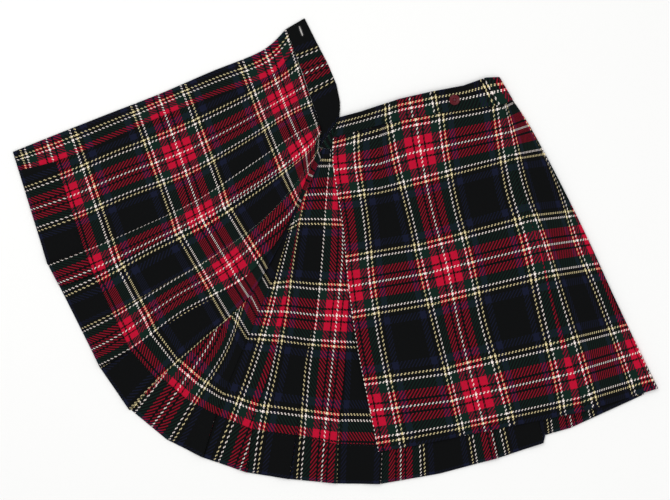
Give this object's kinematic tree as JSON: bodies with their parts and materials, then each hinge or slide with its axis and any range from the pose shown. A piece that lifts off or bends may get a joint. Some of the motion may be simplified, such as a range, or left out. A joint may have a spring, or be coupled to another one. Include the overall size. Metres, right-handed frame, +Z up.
{
  "type": "tartan skirt",
  "caption": "pleated wrap skirt in checked wool, laid open flat: over apron inside up, pleated back fanned out, under apron folded over it",
  "frame": {"origin": "centre of the garment's box on the surface it lies on", "axes": "+Z up from the surface, +Y towards the waist, +X towards the under apron's folded side"},
  "size_m": [1.2875, 0.9297, 0.0105],
  "materials": {
    "tartan": "2/2 twill wool check: near-black ground with dark blue and dark green, red bands, fine white and yellow lines",
    "button": "dark red moulded button, softly glossy, with a raised rim"
  },
  "bodies": {
    "root": {"over_apron": "tartan", "pleated_back": "tartan", "under_apron": "tartan", "front_facing": "tartan", "over_apron_hem_1": "tartan", "over_apron_hem_2": "tartan", "over_apron_hem_3": "tartan", "over_apron_hem_4": "tartan", "back_hem_1": "tartan", "back_hem_2": "tartan", "back_hem_3": "tartan", "back_hem_4": "tartan", "back_hem_5": "tartan", "back_hem_6": "tartan", "back_hem_7": "tartan", "back_hem_8": "tartan", "waistband_over_apron": "tartan", "waistband_back": "tartan", "waistband_under_apron": "tartan", "button": "button"}
  },
  "joints": []
}
